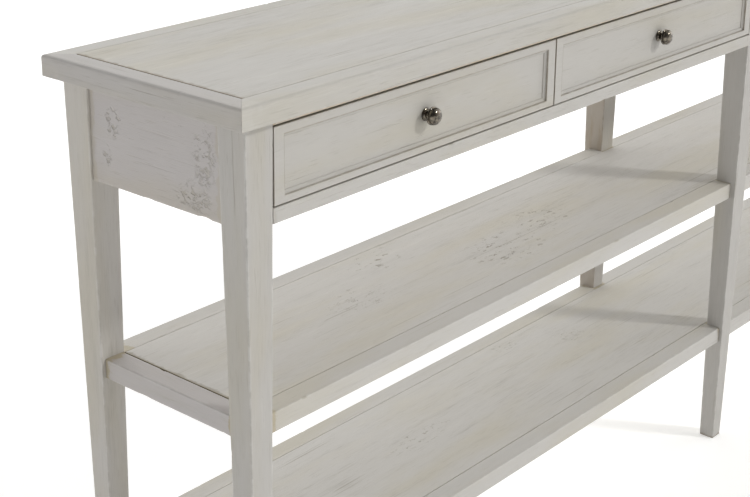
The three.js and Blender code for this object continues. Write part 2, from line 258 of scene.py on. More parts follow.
def brushed_wood_group():
    """Brushed wood under a thin wash. Its vector runs along the grain in x, from the board's middle."""
    tree, given, out = new_group(
        "brushed wood",
        [("Vector", VECTOR, None), ("Half", VECTOR, (0.5, 0.1, 0.01)), ("Taper", FLOAT, 0.0),
         ("Seed", FLOAT, 0.0), ("Dark", COLOR, (0.3, 0.28, 0.24, 1)),
         ("Middle", COLOR, (0.45, 0.43, 0.39, 1)), ("Light", COLOR, (0.56, 0.54, 0.5, 1)),
         ("Glaze", COLOR, (0.2, 0.16, 0.09, 1)), ("Glaze Amount", FLOAT, 0.5),
         ("Rubbed", FLOAT, 0.4), ("Contrast", FLOAT, 1.0), ("Chipped And Shaded", FLOAT, 0.0),
         ("Dents", FLOAT, 0.0), ("Dent Depth", FLOAT, 1.0), ("Dent Tint", FLOAT, 0.6),
         ("Edge Lines", VECTOR, (0, 0, 0)), ("Cracks", FLOAT, 0.35), ("Glaze Reach", FLOAT, 1.0),
         ("Rim Low", VECTOR, (0, 0, 0)), ("Rim High", VECTOR, (0, 0, 0)), ("Rim Line", FLOAT, 0.0),
         ("Bare Side", FLOAT, 0.0), ("Shade Brown", COLOR, (0.36, 0.285, 0.2, 1))],
        [("Color", COLOR), ("Roughness", FLOAT), ("Height", FLOAT)],
    )
    place = given["Vector"]
    apart = add(tree, "ShaderNodeCombineXYZ", {
        0: reckon(tree, "MULTIPLY", given["Seed"], 3.17),
        1: reckon(tree, "MULTIPLY", given["Seed"], 1.73),
        2: reckon(tree, "MULTIPLY", given["Seed"], 2.39),
    }).outputs[0]
    own = add(tree, "ShaderNodeVectorMath", {0: place, 1: apart}, operation="ADD").outputs[0]

    cloud = grain_noise(tree, own, (2.3, 10, 10), 2.0)
    band = grain_noise(tree, own, (1.6, 46, 46), 4.0, 0.6, 0.35)
    smear = grain_noise(tree, own, (14, 70, 70), 3.0, 0.55, 0.3)
    streak = grain_noise(tree, own, (9, 240, 240), 3.0, 0.6)
    fibre = grain_noise(tree, own, (30, 800, 800), 2.0, 0.6)
    hair = grain_noise(tree, own, (60, 2200, 2200), 1.0)
    pores = fade(tree, grain_noise(tree, own, (34, 640, 640), 1.0), 0.64, 0.74)
    cracks = fade(tree, grain_noise(tree, own, (4.5, 380, 380), 2.0, 0.5, 0.25), 0.66, 0.72)
    patchy = fade(tree, grain_noise(tree, own, (5, 18, 18), 2.0), 0.46, 0.62)
    cracks = reckon(tree, "MULTIPLY", cracks, patchy)
    stain = fade(tree, grain_noise(tree, own, (3.1, 14, 14), 3.0), 0.42, 0.72)

    tone = 0.5
    shares = ((cloud, 0.42), (band, 0.38), (smear, 0.4), (streak, 0.42), (fibre, 0.5), (hair, 0.3))
    for pattern, share in shares:
        part = reckon(tree, "MULTIPLY", reckon(tree, "SUBTRACT", pattern, 0.5), share)
        tone = reckon(tree, "ADD", part, tone)
    tone = reckon(tree, "MULTIPLY_ADD", reckon(tree, "SUBTRACT", tone, 0.5), given["Contrast"], 0.5)
    darker = blend(tree, fade(tree, tone, 0.05, 0.5), given["Dark"], given["Middle"])
    colour = blend(tree, fade(tree, tone, 0.5, 0.95), darker, given["Light"])
    colour = blend(tree, stain, colour, OLIVE_STAIN, "MULTIPLY")
    hollow = blend(tree, 0.55, given["Dark"], given["Glaze"])
    colour = blend(tree, reckon(tree, "MULTIPLY", pores, 0.16), colour, hollow)
    colour = blend(tree, reckon(tree, "MULTIPLY", cracks, given["Cracks"]), colour, hollow)

    # Distances to the board's ends and sides, and to its nearest arris
    size = add(tree, "ShaderNodeSeparateXYZ", {0: given["Half"]}).outputs
    spot = add(tree, "ShaderNodeSeparateXYZ", {0: place}).outputs
    grow = reckon(tree, "MULTIPLY", spot[0], given["Taper"])
    gaps = [reckon(tree, "SUBTRACT", size[0], reckon(tree, "ABSOLUTE", spot[0]))]
    for side in (1, 2):
        reach = reckon(tree, "ADD", size[side], grow)
        gaps.append(reckon(tree, "SUBTRACT", reach, reckon(tree, "ABSOLUTE", spot[side])))
    nearer = reckon(tree, "MINIMUM", gaps[0], gaps[1])
    further = reckon(tree, "MAXIMUM", gaps[0], gaps[1])
    arris = reckon(tree, "MAXIMUM", nearer, reckon(tree, "MINIMUM", further, gaps[2]))

    rub = grain_noise(tree, own, (60, 60, 60), 3.0)
    # Painted shade: a brown cast along one side face, used on the back middle leg's left face, which is
    # turned away from the light.
    past = reckon(tree, "SUBTRACT", reckon(tree, "ADD", size[2], grow), spot[2])
    side_shade = reckon(tree, "MULTIPLY", fade(tree, past, *SHADED_SIDE_DEPTH), given["Bare Side"])
    side_shade = reckon(tree, "MULTIPLY", side_shade, fade(tree, smear, 0.2, 0.6, 1.0, 0.55))
    colour = blend(tree, side_shade, colour, given["Shade Brown"])
    # Lighter colour along the arrises: partly rubbed wear, partly a painted highlight where the rounded
    # edges would catch the light.
    rubbed_and_highlight = reckon(tree, "MULTIPLY", fade(tree, arris, *RUBBED_HIGHLIGHT_WIDTH), fade(tree, rub, 0.4, 0.62))
    rubbed_and_highlight = reckon(tree, "MULTIPLY", rubbed_and_highlight, given["Rubbed"])
    colour = blend(tree, rubbed_and_highlight, colour, given["Light"])
    drip = grain_noise(tree, own, (90, 90, 90), 3.0)
    edge_of_glaze = reckon(tree, "MULTIPLY_ADD", drip, GLAZE_RUN, GLAZE_START)
    edge_of_glaze = reckon(tree, "MULTIPLY", edge_of_glaze, given["Glaze Reach"])
    glazed = fade(tree, reckon(tree, "SUBTRACT", gaps[0], edge_of_glaze), GLAZE_EDGE, -GLAZE_EDGE)
    glazed = reckon(tree, "MULTIPLY", glazed, given["Glaze Amount"])
    colour = blend(tree, glazed, colour, given["Glaze"])
    strength = add(tree, "ShaderNodeSeparateXYZ", {0: given["Edge Lines"]}).outputs
    lined = 0.0
    for side in range(3):
        near = reckon(tree, "MULTIPLY", fade(tree, gaps[side], *LINE_WIDTH), strength[side])
        lined = near if side == 0 else reckon(tree, "MAXIMUM", lined, near)
    # A thin dark line in the glaze colour round the rim of the sunk field: painted shade along the edge
    # of the step.
    rim = None
    for corner, turn in ((given["Rim Low"], 1.0), (given["Rim High"], -1.0)):
        off = add(tree, "ShaderNodeVectorMath", {0: place, 1: corner}, operation="SUBTRACT")
        away = add(tree, "ShaderNodeSeparateXYZ", {0: off.outputs[0]}).outputs
        for side in (0, 2):
            inside = reckon(tree, "MULTIPLY", away[side], turn)
            rim = inside if rim is None else reckon(tree, "MINIMUM", rim, inside)
    rim = fade(tree, reckon(tree, "ABSOLUTE", rim), *RIM_WIDTH)
    lined = reckon(tree, "MAXIMUM", lined, reckon(tree, "MULTIPLY", rim, given["Rim Line"]))
    lined = reckon(tree, "MULTIPLY", lined, fade(tree, rub, 0.3, 0.6, 0.45, 1.0))
    colour = blend(tree, lined, colour, given["Glaze"])
    tinted = reckon(tree, "MULTIPLY", given["Dents"], given["Dent Tint"])
    colour = blend(tree, tinted, colour, hollow)
    # Chips darken toward the hollow colour, and on the drawer fronts the same layer carries painted
    # shade in the moulding.
    bitten_and_shaded = fade(tree, given["Chipped And Shaded"], 0.2, 1.0)
    bitten_and_shaded = reckon(tree, "MULTIPLY", bitten_and_shaded, fade(tree, rub, 0.36, 0.56, 0.25, 0.6))
    colour = blend(tree, bitten_and_shaded, colour, hollow)
    tree.links.new(colour, out["Color"])

    height = 0.5
    sunk = reckon(tree, "MULTIPLY", given["Dents"], given["Dent Depth"])
    for pattern, share in ((band, 0.2), (smear, 0.2), (streak, 0.35), (fibre, 0.5), (hair, 0.2),
                           (pores, -0.35), (cracks, -0.6), (sunk, -2.2)):
        height = reckon(tree, "MULTIPLY_ADD", pattern, share, height)
    tree.links.new(height, out["Height"])
    rough = reckon(tree, "MULTIPLY_ADD", streak, 0.22, 0.56)
    tree.links.new(reckon(tree, "MULTIPLY_ADD", rubbed_and_highlight, -0.12, rough), out["Roughness"])
    return tree


WANDER_SCALE, WANDER = 210.0, (0.009, 0.009, 0.009)
HOLE_SCALE = 130.0
TRACK_SCALE = 64.0


def worm_eaten_group():
    """Small holes and curling tracks within a patch of a board, drawn out along the grain by Stretch."""
    tree, given, out = new_group(
        "worm eaten patch",
        [("Vector", VECTOR, None), ("Centre", VECTOR, (0, 0, 0)),
         ("Reach", VECTOR, (0.05, 0.05, 0.05)), ("Stretch", FLOAT, 1.0),
         ("Fineness", FLOAT, 1.0), ("Seed", FLOAT, 0.0), ("Amount", FLOAT, 1.0),
         ("Sparse", FLOAT, 0.0)],
        [("Mask", FLOAT)],
    )
    offset = add(tree, "ShaderNodeVectorMath", {0: given["Vector"], 1: given["Centre"]},
                 operation="SUBTRACT").outputs[0]
    scaled = add(tree, "ShaderNodeVectorMath", {0: offset, 1: given["Reach"]}, operation="DIVIDE")
    far = add(tree, "ShaderNodeVectorMath", {0: scaled.outputs[0]}, operation="LENGTH").outputs[1]
    ragged = reckon(tree, "MULTIPLY_ADD", grain_noise(tree, given["Vector"], (55, 70, 70)), 0.9, far)
    within = fade(tree, ragged, 1.35, 0.75)
    wander = add(tree, "ShaderNodeTexNoise",
                 {"Vector": given["Vector"], "Scale": WANDER_SCALE, "Detail": 2.0}).outputs[1]
    bent = add(tree, "ShaderNodeVectorMath", {0: wander, 1: WANDER, 2: offset},
               operation="MULTIPLY_ADD").outputs[0]
    squeeze = add(tree, "ShaderNodeCombineXYZ", {
        0: reckon(tree, "DIVIDE", given["Fineness"], given["Stretch"]),
        1: given["Fineness"], 2: given["Fineness"],
    }).outputs[0]
    bent = add(tree, "ShaderNodeVectorMath", {0: bent, 1: squeeze}, operation="MULTIPLY").outputs[0]
    bent = add(tree, "ShaderNodeVectorMath", {0: bent, 1: given["Seed"]}, operation="ADD").outputs[0]
    cells = add(tree, "ShaderNodeTexVoronoi", {"Vector": bent, "Scale": HOLE_SCALE}).outputs
    lot = add(tree, "ShaderNodeSeparateXYZ", {0: cells[1]}).outputs[0]
    lot = reckon(tree, "SUBTRACT", lot, given["Sparse"])
    holes = reckon(tree, "MULTIPLY", fade(tree, cells[0], 0.42, 0.24), fade(tree, lot, 0.36, 0.42))
    seams = add(tree, "ShaderNodeTexVoronoi", {"Vector": bent, "Scale": TRACK_SCALE},
                feature="DISTANCE_TO_EDGE").outputs[0]
    scattered = grain_noise(tree, bent, (150, 150, 150))
    scattered = reckon(tree, "MULTIPLY_ADD", given["Sparse"], -0.3, scattered)
    broken = fade(tree, scattered, 0.48, 0.58)
    tracks = reckon(tree, "MULTIPLY", fade(tree, seams, 0.14, 0.05), broken)
    marks = reckon(tree, "MAXIMUM", holes, reckon(tree, "MULTIPLY", tracks, 0.8))
    marks = reckon(tree, "MULTIPLY", marks, within)
    tree.links.new(reckon(tree, "MULTIPLY", marks, given["Amount"]), out["Mask"])
    return tree


brushed_wood = brushed_wood_group()
worm_eaten = worm_eaten_group()

# A turn that brings each board's grain onto x
TO_GRAIN = {"x": (0, 0, 0), "y": (0, 0, -math.pi / 2), "z": (0, math.pi / 2, 0)}
LIMED = {"Dark": (0.30, 0.282, 0.25, 1), "Middle": (0.472, 0.457, 0.429, 1),
         "Light": (0.585, 0.572, 0.545, 1), "Glaze": (0.2, 0.158, 0.1, 1)}


def shown_half(node, grain):
    """Half the length between a board's shoulders, leaving out its tenons."""
    low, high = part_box(node)
    axis = "xyz".index(grain)
    others = [i for i in range(3) if i != axis]
    corners = {}
    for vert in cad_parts[node].data.vertices:
        at_low = [abs(vert.co[i] - low[i]) < 1e-4 for i in others]
        at_high = [abs(vert.co[i] - high[i]) < 1e-4 for i in others]
        if all(a or b for a, b in zip(at_low, at_high)):
            corners.setdefault(tuple(at_low), []).append(vert.co[axis])
    spans = [max(line) - min(line) for line in corners.values() if max(line) - min(line) > MM]
    return min(spans) / 2 if spans else (high[axis] - low[axis]) / 2


DRAWN_OUT = 1.5
GOUGES_APART = 0.34
BUMP_HEIGHT = 0.0008


def wood(name, low, high, grain, finish, seed, patches=(), bump=0.55, shown=None, **own):
    """One board's material: its grain follows the board, and worm patches sit where they are told.

    A patch is its centre, reach, stretch along the grain, fineness and amount.
    """
    material = bpy.data.materials.new(name)
    material.use_nodes = True
    tree = material.node_tree
    surface = tree.nodes["Principled BSDF"]
    middle = (low + high) / 2
    half = (high - low) / 2
    turn = Matrix.Rotation(TO_GRAIN[grain][2], 4, "Z") @ Matrix.Rotation(TO_GRAIN[grain][1], 4, "Y")
    local_half = Vector([abs(c) for c in turn @ half])
    if shown:
        local_half.x = shown
    where = add(tree, "ShaderNodeTexCoord").outputs["Object"]
    local = add(tree, "ShaderNodeMapping", {
        "Vector": where, "Location": -(turn @ middle), "Rotation": TO_GRAIN[grain],
    }).outputs[0]
    grained = add(tree, "ShaderNodeGroup", node_tree=brushed_wood)
    tree.links.new(local, grained.inputs["Vector"])
    for key, value in {**finish, **own, "Half": local_half, "Seed": float(seed)}.items():
        grained.inputs[key.replace("_", " ")].default_value = value
    chipped_and_shaded = add(tree, "ShaderNodeAttribute", attribute_name="chipped_and_shaded").outputs["Fac"]
    tree.links.new(chipped_and_shaded, grained.inputs["Chipped And Shaded"])
    dents = None
    for number, (centre, reach, stretch, fineness, amount) in enumerate(patches):
        patch = add(tree, "ShaderNodeGroup", {}, node_tree=worm_eaten)
        tree.links.new(local, patch.inputs["Vector"])
        patch.inputs["Centre"].default_value = turn @ (Vector(centre) - middle)
        patch.inputs["Reach"].default_value = [abs(c) for c in turn @ Vector(reach)]
        patch.inputs["Stretch"].default_value = stretch
        patch.inputs["Fineness"].default_value = fineness
        patch.inputs["Sparse"].default_value = GOUGES_APART if stretch > DRAWN_OUT else 0.0
        patch.inputs["Seed"].default_value = seed * 0.37 + number * 1.9
        patch.inputs["Amount"].default_value = amount
        mask = patch.outputs[0]
        dents = mask if dents is None else reckon(tree, "MAXIMUM", dents, mask)
    if dents is not None:
        tree.links.new(dents, grained.inputs["Dents"])
    tree.links.new(grained.outputs["Color"], surface.inputs["Base Color"])
    tree.links.new(grained.outputs["Roughness"], surface.inputs["Roughness"])
    raised = add(tree, "ShaderNodeBump", {
        "Height": grained.outputs["Height"], "Strength": bump, "Distance": BUMP_HEIGHT,
    })
    tree.links.new(raised.outputs[0], surface.inputs["Normal"])
    surface.inputs["Specular IOR Level"].default_value = 0.32
    return material


def finish_piece(name, shape, body, slot, material, *nodes, smooth=None):
    """Makes the piece's object, sets what it rides on and hides the CAD nodes it stands for."""
    mesh = bpy.data.meshes.new(name)
    shape.to_mesh(mesh)
    shape.free()
    if "custom_normal" in mesh.attributes:
        mesh.attributes.remove(mesh.attributes["custom_normal"])
    mesh.polygons.foreach_set("use_smooth", [smooth is not None] * len(mesh.polygons))
    if smooth is not None:
        mesh.set_sharp_from_angle(angle=math.radians(smooth))
    mesh.polygons.foreach_set("material_index", [0] * len(mesh.polygons))
    mesh.materials.clear()
    mesh.materials.append(material)
    piece = bpy.data.objects.new(name, mesh)
    bpy.context.scene.collection.objects.link(piece)
    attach(piece, body)
    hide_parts(*nodes)
    return piece


seed = 0


def worn_board(node, body, slot, grain, arris, finish, chips=6, deepest=1.2 * MM, special=None,
               special_arris=0.0, patches=(), **own):
    """A CAD board with rounded, worn arrises and its own length of grain."""
    global seed
    seed += 1
    low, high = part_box(node)
    board = soften(
        board_of(node), ALONG[grain], arris, special, special_arris, chips, deepest, seed
    )
    shown = shown_half(node, grain)
    material = wood(node + " wood", low, high, grain, finish, seed, patches, shown=shown, **own)
    return finish_piece(node + "_board", board, body, slot, material, node)


# Painted shade, in part: the top's end rails are a darker, slightly purple grey, darkened to stand in
# for the shade on the ends of the top.
END_SHADED_GREY = {**LIMED, "Middle": (0.428, 0.41, 0.394, 1), "Light": (0.53, 0.512, 0.495, 1)}
top_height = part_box("top_panel")[1].z
rail_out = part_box("top_rail_front")[0].y


def top_outer(point):
    """Whether a point is on the upper arris round the outside of the top."""
    return point.z > top_height - MM and (
        abs(point.y) > -rail_out - MM or abs(point.x) > cad_box[1].x - MM
    )


worn_board(
    "top_panel", "frame", "board_wood", "x", BORDER_ARRIS, LIMED, chips=0, Contrast=0.95,
    Cracks=0.6, Edge_Lines=(0.9, 0.2, 0),
    patches=[((-0.47, -0.02, top_height), (0.02, 0.01, 0.01), 2.0, 1.6, 0.8),
             ((0.35, 0.06, top_height), (0.06, 0.03, 0.01), 4.0, 1.6, 0.7)],
)
for side in ("front", "back"):
    worn_board(
        "top_rail_" + side, "frame", "board_wood", "x", BORDER_ARRIS, LIMED, chips=9,
        deepest=0.9 * MM, special=top_outer, special_arris=TOP_ARRIS, Glaze_Amount=0.0,
        Contrast=0.75, Rubbed=0.15,
    )
for side in ("left", "right"):
    worn_board(
        "top_rail_" + side, "frame", "board_wood", "y", BORDER_ARRIS, END_SHADED_GREY, chips=2,
        deepest=0.7 * MM, special=top_outer, special_arris=TOP_ARRIS, Glaze_Amount=0.0,
        Contrast=0.5, Rubbed=0.1,
    )

# ---- Legs ---------------------------------------------------------------------------------
# Six square legs of the same limed wood taper on all four sides from the top to the floor. Rails
# and shelves are tenoned into them, and a little brown glaze darkens their ends. As painted light
# and shade, the back legs are a lighter copy of the wood and the front legs a slightly darker one,
# and the back middle leg has painted brown shade on its left face.
LEG_ARRIS = 1.5 * MM
# Painted light and shade: the back legs are a lighter copy of the limed wood, standing in for light
# under the table, and the front legs a slightly darker copy against the strong light on their fronts.
FRONT_LEG_DARKENED = {**LIMED, "Middle": (0.446, 0.43, 0.406, 1)}
BACK_LEG_LIGHTENED = {**LIMED, "Middle": (0.492, 0.472, 0.446, 1), "Light": (0.6, 0.58, 0.55, 1)}

for row in ("front", "back"):
    for end in ("left", "middle", "right"):
        node = f"leg_{row}_{end}"
        low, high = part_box(node)
        floor_x = [v.co.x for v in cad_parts[node].data.vertices if v.co.z < 1e-5]
        toe_half = (max(floor_x) - min(floor_x)) / 2
        top_half = (high.x - low.x) / 2
        rise = (top_half - toe_half) / (high.z - low.z)
        middle_half = (top_half + toe_half) / 2
        seed += 1
        leg = soften(board_of(node), ALONG["z"], LEG_ARRIS, chips=7, deepest=0.9 * MM, seed=seed)
        # The arris lightening on the legs is partly wear and partly painted light on edge strips that
        # the lamps leave in shade.
        material = wood(
            node + " wood", low, high, "z", FRONT_LEG_DARKENED if row == "front" else BACK_LEG_LIGHTENED,
            seed, Taper=rise, Contrast=0.65, Rubbed=0.6,
            # The back middle leg's left face gets painted brown shade.
            Bare_Side=0.75 if node == "leg_back_middle" else 0.0,
        )
        group = next(n for n in material.node_tree.nodes if n.type == "GROUP")
        group.inputs["Half"].default_value = ((high.z - low.z) / 2, middle_half, middle_half)
        finish_piece(node + "_post", leg, "frame", "frame_wood", material, node)

# ---- Aprons and rails ---------------------------------------------------------------------
# Boards tenoned between the legs close the ends and the back, and slim rails run above and below
# the drawers. The end boards are the most worm-eaten, with curling tracks near both their legs.
# The rails above the drawers are a lighter brown that shows in the gap: partly the wood's own
# brown, partly painted light on rails that sit in shade under the top.
FRAME_ARRIS = 0.9 * MM
HIDDEN_ARRIS = 0.5 * MM
APRON_FINISH = {**LIMED, "Middle": (0.458, 0.434, 0.424, 1), "Glaze": (0.4, 0.345, 0.235, 1)}
# Painted light, in part: the rails above the drawers are a lighter brown than the frame, standing in for
# light on rails that sit in shade under the top.
RAIL_LIT_BROWN = {**LIMED, "Dark": (0.4, 0.32, 0.23, 1), "Middle": (0.6, 0.53, 0.43, 1)}

for side in ("left", "right"):
    low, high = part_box("apron_" + side)
    face = low.x if side == "left" else high.x
    worn_board(
        "apron_" + side, "frame", "frame_wood", "y", FRAME_ARRIS, APRON_FINISH, chips=6,
        deepest=2.0 * MM, Glaze_Amount=0.3, Glaze_Reach=1.6, Contrast=0.38, Dent_Tint=0.42,
        Dent_Depth=3.0, Cracks=0.1,
        patches=[((face, 0.066, 0.752), (0.01, 0.018, 0.028), 1.2, 1.1, 1.0),
                 ((face, 0.078, 0.71), (0.01, 0.01, 0.016), 1.0, 1.2, 0.9),
                 ((face, -0.08, 0.742), (0.01, 0.022, 0.05), 1.0, 1.1, 1.0),
                 ((face, -0.062, 0.695), (0.01, 0.038, 0.024), 1.2, 1.1, 1.0),
                 ((face, -0.03, 0.776), (0.01, 0.035, 0.008), 2.5, 1.3, 0.7)],
    )
worn_board(
    "apron_back", "frame", "frame_wood", "x", FRAME_ARRIS, APRON_FINISH, chips=10, Contrast=0.6,
)
for side in ("left", "right"):
    worn_board(
        "lower_rail_" + side, "frame", "frame_wood", "x", FRAME_ARRIS, LIMED, chips=5,
        deepest=0.8 * MM, Glaze_Amount=0.2, Contrast=0.6, Edge_Lines=(0, 0, 0.25),
    )
    worn_board(
        "upper_rail_" + side, "frame", "frame_wood", "x", HIDDEN_ARRIS, RAIL_LIT_BROWN, chips=0,
        Glaze_Amount=0.3,
    )

# ---- Drawer supports ----------------------------------------------------------------------
# Inside the frame each bay has a flat board that its two drawers slide on, with a thin grey wash,
# and an upright divider of clear-sealed pale wood between them. Both are planed, with small arrises.
BOX_ARRIS = 0.6 * MM
PALE = {"Dark": (0.33, 0.2, 0.1, 1), "Middle": (0.5, 0.36, 0.215, 1), "Light": (0.6, 0.47, 0.31, 1),
        "Glaze": (0.2, 0.11, 0.05, 1), "Glaze Amount": 0.15, "Rubbed": 0.2}
WASHED = {**PALE, "Dark": (0.36, 0.32, 0.27, 1), "Middle": (0.53, 0.505, 0.47, 1)}

for side in ("left", "right"):
    worn_board(
        "runner_board_" + side, "frame", "drawer_box_wood", "x", BOX_ARRIS, WASHED, chips=0, bump=0.25,
    )
    worn_board(
        "divider_" + side, "frame", "drawer_box_wood", "y", BOX_ARRIS, PALE, chips=0, bump=0.25,
    )

# ---- Shelves ------------------------------------------------------------------------------
# Each shelf is a long panel in a border of rails that butt against the legs with stub tenons. The
# wood is the top's, more knocked about, with gouges drawn out along its grain in each bay, and it
# is painted lighter than the top to stand in for the light that reaches the shelves.
SHELF_ARRIS = 1.3 * MM
PANEL_ARRIS = 0.5 * MM
# Painted light: the shelf panels and their rails are a lighter wash than the top, standing in for the
# light that reaches the shelves.
SHELF_LIGHTENED = {**LIMED, "Middle": (0.528, 0.513, 0.486, 1), "Light": (0.62, 0.605, 0.575, 1),
                "Glaze": (0.2, 0.165, 0.095, 1)}
SHELF_RAIL_LIGHTENED = {**LIMED, "Middle": (0.512, 0.496, 0.469, 1), "Glaze": (0.4, 0.345, 0.235, 1)}

upper_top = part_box("upper_shelf_panel")[1].z
lower_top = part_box("lower_shelf_panel")[1].z
panel_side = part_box("upper_shelf_panel")[1].y


def by_panel(point):
    """Whether a point is on a border rail's arris beside the panel."""
    return abs(point.y) < panel_side + 2 * MM


shelf_marks = {
    "upper_shelf": [((-0.352, 0.002, upper_top), (0.075, 0.055, 0.01), 2.6, 1.2, 1.0),
                    ((-0.475, -0.03, upper_top), (0.1, 0.06, 0.01), 3.0, 1.3, 1.0),
                    ((-0.49, 0.118, upper_top), (0.09, 0.016, 0.01), 2.0, 1.3, 1.0),
                    ((-0.63, 0.075, upper_top), (0.07, 0.05, 0.01), 3.0, 1.4, 0.9),
                    ((-0.74, 0.0, upper_top), (0.08, 0.05, 0.01), 5.0, 1.8, 0.5),
                    ((0.45, -0.03, upper_top), (0.1, 0.05, 0.01), 4.0, 1.7, 1.0)],
    "lower_shelf": [((-0.3, 0.085, lower_top), (0.05, 0.016, 0.01), 4.0, 1.6, 0.9),
                    ((-0.62, 0.0, lower_top), (0.1, 0.03, 0.01), 6.0, 2.0, 0.6),
                    ((-0.2, 0.03, lower_top), (0.05, 0.03, 0.01), 4.0, 2.2, 0.5),
                    ((0.55, 0.0, lower_top), (0.12, 0.05, 0.01), 5.0, 1.8, 0.8)],
}
for shelf in ("upper_shelf", "lower_shelf"):
    worn_board(
        shelf + "_panel", "frame", "board_wood", "x", PANEL_ARRIS, SHELF_LIGHTENED, chips=0,
        patches=shelf_marks[shelf], Contrast=0.8, Cracks=0.5, Edge_Lines=(1.0, 0.3, 0),
        Dent_Depth=1.4, Dent_Tint=0.75,
    )
    for side in ("left", "right"):
        worn_board(
            f"{shelf}_end_{side}", "frame", "board_wood", "y", SHELF_ARRIS, APRON_FINISH, chips=6,
            deepest=1.0 * MM, Glaze_Amount=0.8, Glaze_Reach=2.2, Contrast=0.5,
        )
        for row in ("front", "back"):
            worn_board(
                f"{shelf}_{row}_{side}", "frame", "board_wood", "x", SHELF_ARRIS, SHELF_RAIL_LIGHTENED,
                chips=8, deepest=1.0 * MM, Glaze_Amount=0.7, Glaze_Reach=1.8, Contrast=0.55,
                special=by_panel, special_arris=PANEL_ARRIS,
            )

# ---- Drawer fronts ------------------------------------------------------------------------
# Each front is one limed board with a moulded step round a sunk field. The step falls over a
# small quirk and an ogee. Painted shade darkens the quirk and the hollow along the top and right
# sides of the step, and a thin painted dark line runs round the rim. The long edges are softly
# rounded, with a lighter line along them that is partly rubbed wear and partly painted highlight.
FRONT_ARRIS = 0.8 * MM
MOULDING_DEPTH = 5 * MM
MOULDING_RUN = 5 * MM
INSIDE_EDGE = 4 * MM
INSIDE_LIP = 6 * MM
ON_SLOPE = 0.2 * MM
QUIRK = 0.3
QUIRK_IN = 0.1
OGEE_STEPS = 8
HOLLOW = (0.83, 0.95)
HOLLOW_SHADE = 0.85
FRONT_FINISH = {**LIMED, "Middle": (0.458, 0.442, 0.414, 1)}


def ogee(share):
    """How far in the moulding has come when it has sunk by this share of its depth."""
    if share < QUIRK:
        return QUIRK_IN * share / QUIRK
    rest = (share - QUIRK) / (1 - QUIRK)
    swell = 0.5 - 0.5 * math.cos(math.pi * rest) - 0.1 * math.sin(2 * math.pi * rest)
    return QUIRK_IN + (1 - QUIRK_IN) * swell


def moulded_front(node):
    """The CAD front with its plain slope turned into an ogee."""
    board = board_of(node)
    low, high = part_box(node)
    ring = [v.co for v in board.verts if low.y + MM < v.co.y < low.y + 9 * MM]
    field_y = min(ring, key=lambda co: abs(co.y - (low.y + MOULDING_DEPTH))).y
    sunk = field_y - low.y
    rim = [v.co for v in board.verts
           if abs(v.co.y - low.y) < 1e-5 and low.x + INSIDE_EDGE < v.co.x < high.x - INSIDE_EDGE
           and low.z + INSIDE_EDGE < v.co.z < high.z - INSIDE_EDGE]
    left, right = min(co.x for co in rim), max(co.x for co in rim)
    foot, head = min(co.z for co in rim), max(co.z for co in rim)
    inner = [v.co for v in board.verts if abs(v.co.y - field_y) < 1e-5
             and left - MM < v.co.x < right + MM and foot - MM < v.co.z < head + MM]
    run = min(co.x for co in inner) - left
    for step in range(1, OGEE_STEPS):
        saw(board, Vector((0, low.y + sunk * step / OGEE_STEPS, 0)), Vector((0, 1, 0)))
    for vert in board.verts:
        co = vert.co
        depth = (co.y - low.y) / sunk
        if not 1e-3 < depth < 1 - 1e-3:
            continue
        slope = depth * run
        shift = ogee(depth) * run - slope
        if abs(co.x - (left + slope)) < ON_SLOPE:
            co.x += shift
        elif abs(co.x - (right - slope)) < ON_SLOPE:
            co.x -= shift
        if abs(co.z - (foot + slope)) < ON_SLOPE:
            co.z += shift
        elif abs(co.z - (head - slope)) < ON_SLOPE:
            co.z -= shift
    return board


for number in (1, 2, 3, 4):
    node = f"drawer_{number}_front"
    low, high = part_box(node)
    seed += 1
    shape = soften(moulded_front(node), ALONG["x"], FRONT_ARRIS, chips=3, deepest=0.7 * MM, seed=seed)
    chip_and_shade_layer = shape.verts.layers.float["chipped_and_shaded"]
    rim = [vert.co for vert in shape.verts if 0.02 < (vert.co.y - low.y) / MOULDING_DEPTH < QUIRK
           and low.x + INSIDE_LIP < vert.co.x < high.x - INSIDE_LIP
           and low.z + INSIDE_LIP < vert.co.z < high.z - INSIDE_LIP]
    rim_low = Vector((min(co.x for co in rim), 0, min(co.z for co in rim)))
    rim_high = Vector((max(co.x for co in rim), 0, max(co.z for co in rim)))
    # Painted shade: the quirk and hollow on the top and right sides of the step face away from the key
    # light, so they are darkened through the chip layer.
    for vert in shape.verts:
        depth = (vert.co.y - low.y) / MOULDING_DEPTH
        shaded = vert.co.x > rim_high.x - MOULDING_RUN or vert.co.z > rim_high.z - MOULDING_RUN
        if shaded and (0.05 < depth < QUIRK or HOLLOW[0] < depth < HOLLOW[1]):
            vert[chip_and_shade_layer] = HOLLOW_SHADE
    # The rim line here is painted shade along the edge of the moulded step.
    material = wood(
        node + " wood", low, high, "x", FRONT_FINISH, seed, Glaze_Amount=0.0, Contrast=0.5,
        Cracks=0.2, Edge_Lines=(0.5, 0, 0.3), Rim_Line=0.42,
        Rim_Low=rim_low - (low + high) / 2, Rim_High=rim_high - (low + high) / 2,
    )
    finish_piece(
        node + "_board", shape, f"drawer_{number}", "drawer_front_wood", material, node,
    )

# ---- Drawer boxes -------------------------------------------------------------------------
# Behind each front is a box of pale boards: two sides, grooved for a thin bottom that slides in
# from behind, and a back that stands on it. They are glued, clear-sealed and lightly sanded.
for number in (1, 2, 3, 4):
    body = f"drawer_{number}"
    for part, grain in (("side_left", "y"), ("side_right", "y"), ("back", "x"), ("bottom", "x")):
        worn_board(
            f"{body}_{part}", body, "drawer_box_wood", grain, BOX_ARRIS, PALE, chips=0, bump=0.2,
        )

